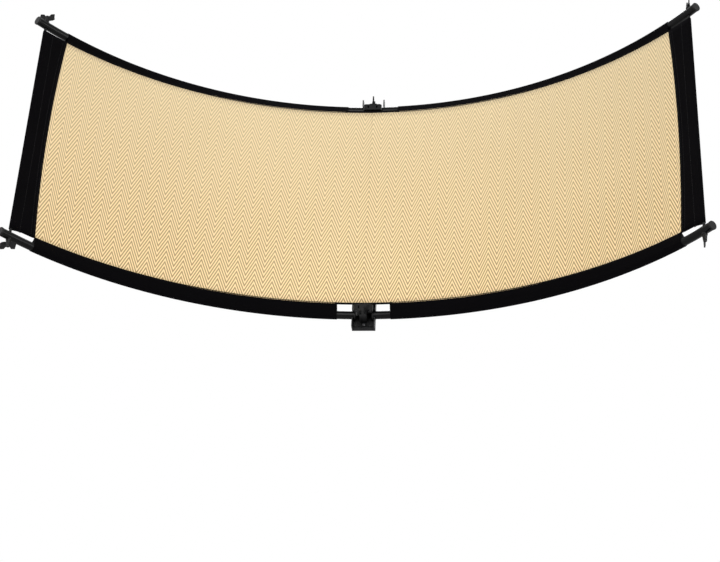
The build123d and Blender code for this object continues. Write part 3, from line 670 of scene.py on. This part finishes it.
# ---- stitching: short rounded threads along each seam ----
STITCH_PITCH = 4.2
STITCH_LENGTH = 3.0
STITCH_RADIUS = 0.28
STITCH_CORNERS = 6
STITCH_RINGS = (            # share of the length, share of the radius and rise in radii
    (0.0, 0.35, -0.2), (0.2, 0.9, 0.5), (0.5, 1.0, 0.7), (0.8, 0.9, 0.5), (1.0, 0.35, -0.2),
)
SLEEVE_SEAM_INSET = 2.4     # stitches from a sleeve's edge
SLEEVE_SEAM_END = 3.0       # unstitched at each end of a seam
BAND_SEAM_END = 4.0
POCKET_SEAM_END = 3.0
BAND_SEAMS = {4.0: 0.9, 10.0: BAND_CLOTH / 2}   # inset from the band's edge: lift off the cloth


def stitch_row(verts, faces, point_at, normal_at, length):
    """Stitches at an even pitch along a seam given as functions of the length along it."""
    count = int(length / STITCH_PITCH)
    for step in range(count):
        middle = (step + 0.5) * length / count
        start, end = (point_at(middle + half * STITCH_LENGTH / 2) for half in (-1, 1))
        along = (end - start) / np.linalg.norm(end - start)
        lift = normal_at(middle)
        beside = np.cross(along, lift)
        first = len(verts)
        for share, swell, rise in STITCH_RINGS:
            centre = start + (end - start) * share + lift * rise * STITCH_RADIUS * MM
            for corner in range(STITCH_CORNERS):
                angle = corner * 2 * pi / STITCH_CORNERS
                spread = beside * cos(angle) + lift * sin(angle)
                verts.append(centre + spread * swell * STITCH_RADIUS * MM)
        last = len(verts) - STITCH_CORNERS
        for ring in range(first, last, STITCH_CORNERS):
            for corner in range(STITCH_CORNERS):
                a, b = ring + corner, ring + (corner + 1) % STITCH_CORNERS
                faces.append((a, b, b + STITCH_CORNERS, a + STITCH_CORNERS))
        faces.append(tuple(range(first + STITCH_CORNERS - 1, first - 1, -1)))
        faces.append(tuple(range(last, last + STITCH_CORNERS)))


def sleeve_seam(side, level, sense):
    """Point, normal and length of a sleeve's front (1) or back (-1) seam."""
    start = ARC_RADIUS * SLEEVE_START + SLEEVE_SEAM_END
    stop = ARC_RADIUS * SLEEVE_STOP - SLEEVE_SEAM_END

    def point(length):
        turn = (start + length) / ARC_RADIUS
        path = wrap_path(cloth_ahead(turn))[::sense]
        edge, inner = path[0], path[1]
        share = SLEEVE_SEAM_INSET / hypot(inner[0] - edge[0], inner[1] - edge[1])
        a, b = (
            edge[k] + (inner[k] - edge[k]) * share + edge[k + 2] * SLEEVE_CLOTH / 2 for k in (0, 1)
        )
        return tube_point(side, level, turn) + (UP * -level * a + cloth_normal(side, turn) * b) * MM

    def normal(length):
        turn = (start + length) / ARC_RADIUS
        edge = wrap_path(cloth_ahead(turn))[::sense][0]
        return UP * -level * edge[2] + cloth_normal(side, turn) * edge[3]

    return point, normal, stop - start


def band_seam(side, inset, lift):
    """Point, normal and length of a seam up the inner edge of an end band."""
    def point(length):
        s = length - CLOTH_HALF + BAND_SEAM_END
        return cloth_point(side, (band_edge(s) + inset) / CLOTH_RADIUS, s, lift)

    def normal(length):
        return cloth_normal(side, band_edge(length - CLOTH_HALF) / CLOTH_RADIUS)

    return point, normal, 2 * (CLOTH_HALF - BAND_SEAM_END)


def pocket_seam(side):
    """Point, normal and length of the seam of the pocket round a spreader rod."""
    turn = (CLOTH_RADIUS * CLOTH_END - POCKET_DEPTH - 3) / CLOTH_RADIUS

    def point(length):
        return cloth_point(side, turn, length - BAND_HALF + POCKET_SEAM_END, BAND_CLOTH / 2)

    def normal(length):
        return cloth_normal(side, turn)

    return point, normal, 2 * (BAND_HALF - POCKET_SEAM_END)


for side_name, side in SIDES.items():
    seams = [sleeve_seam(side, level, sense) for level in LEVELS.values() for sense in (1, -1)]
    seams += [band_seam(side, inset, lift) for inset, lift in BAND_SEAMS.items()]
    seams.append(pocket_seam(side))
    verts, faces = [], []
    for seam in seams:
        stitch_row(verts, faces, *seam)
    thread = dress(make_object(f"seam_threads_{side_name}", verts, faces), THREAD)
    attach(thread, f"{side_name}_wing")


# ---- white surroundings ----
WHITE = (1.0, 1.0, 1.0, 1.0)
FILL_COLOUR = (1.0, 0.99, 0.975, 1.0)
FILL_STRENGTH = 0.38
FLOOR_LEVEL = -1.5
FLOOR_HALF = 4.0
FLOOR_FADE = (1.3, 3.6)     # distances from the middle between which the floor turns white


def ray_switch(tree):
    """1 for rays that come from the camera or off gloss and glass, 0 for the rest."""
    path = tree.nodes.new("ShaderNodeLightPath")
    seen = math(tree, "MAXIMUM", path.outputs["Is Camera Ray"], path.outputs["Is Glossy Ray"])
    return math(tree, "MAXIMUM", seen, path.outputs["Is Transmission Ray"])


world = bpy.data.worlds.new("studio") if scene.world is None else scene.world
scene.world = world
world.use_nodes = True
sky = world.node_tree
sky = world.node_tree
sky.nodes.clear()
fill = node(sky, "ShaderNodeBackground", Color=FILL_COLOUR, Strength=FILL_STRENGTH)
white = node(sky, "ShaderNodeBackground", Color=WHITE, Strength=1.0)
seen = mix_shader(sky, ray_switch(sky), fill.outputs[0], white.outputs[0])
sky.links.new(seen, sky.nodes.new("ShaderNodeOutputWorld").inputs[0])


def pale_floor():
    """Pale floor that turns into the white surroundings far from the middle."""
    material, tree, shader = new_material("pale_floor")
    place = coordinates(tree)
    tone = mix_colour(tree, noise_of(tree, place, 3.0, 2.0), (0.90, 0.90, 0.90), (0.93, 0.93, 0.93))
    tree.links.new(tone, shader.inputs["Base Color"])
    shader.inputs["Roughness"].default_value = 0.9
    shader.inputs["Specular IOR Level"].default_value = 0.1
    squares = [math(tree, "MULTIPLY", value, value) for value in split_xyz(tree, place)[:2]]
    from_middle = math(tree, "SQRT", math(tree, "ADD", *squares))
    rim = remap(tree, from_middle, *FLOOR_FADE, 0.0, 1.0, smooth=True)
    glow = node(tree, "ShaderNodeEmission", Color=WHITE, Strength=1.0)
    share = math(tree, "MULTIPLY", rim, ray_switch(tree))
    surface = mix_shader(tree, share, shader.outputs[0], glow.outputs[0])
    tree.links.new(surface, tree.nodes["Material Output"].inputs["Surface"])
    return material


floor = make_object(
    "floor",
    [(x * FLOOR_HALF, y * FLOOR_HALF, FLOOR_LEVEL) for x, y in ((-1, -1), (1, -1), (1, 1), (-1, 1))],
    [(0, 1, 2, 3)],
)
dress(floor, pale_floor())


# ---- lights ----
def area_light(name, place, target, size, power):
    data = bpy.data.lights.new(name, "AREA")
    data.shape = "RECTANGLE"
    data.size, data.size_y = size
    data.energy = power
    lamp = bpy.data.objects.new(name, data)
    scene.collection.objects.link(lamp)
    lamp.location = place
    lamp.rotation_euler = (Vector(target) - Vector(place)).to_track_quat("-Z", "Y").to_euler()


area_light("key", place=(0.5, -3.6, 1.9), target=(0, -0.2, 0.05), size=(2.6, 1.8), power=84.0)
area_light("left_strip", place=(-2.6, -1.6, 0.6), target=(0, -0.2, 0.0), size=(0.5, 2.4), power=22.0)
area_light("right_strip", place=(2.6, -1.4, 0.8), target=(0, -0.2, 0.0), size=(0.5, 2.4), power=22.0)
area_light("back", place=(0.6, 3.0, 1.6), target=(0, 0.0, 0.0), size=(2.4, 1.2), power=60.0)

# ---- camera, as fitted to the photo ----
CAMERA_PLACE = Vector((0.352, -4.000, -0.319))
CAMERA_TURN = radians(5.38)     # to the left of straight ahead
CAMERA_DIP = radians(-3.39)     # below level; negative looks up
CAMERA_LENS = 83.65             # on a 36 mm sensor
camera_data = bpy.data.cameras.new("camera")
camera_data.sensor_width = 36.0
camera_data.lens = CAMERA_LENS
camera_data.clip_start, camera_data.clip_end = 0.1, 60.0
camera = bpy.data.objects.new("camera", camera_data)
scene.collection.objects.link(camera)
level_ahead = cos(CAMERA_DIP)
look = Vector((-sin(CAMERA_TURN) * level_ahead, cos(CAMERA_TURN) * level_ahead, -sin(CAMERA_DIP)))
camera.location = CAMERA_PLACE
camera.rotation_euler = look.to_track_quat("-Z", "Y").to_euler()
scene.camera = camera
scene.view_settings.view_transform = "Standard"

bpy.context.view_layer.update()
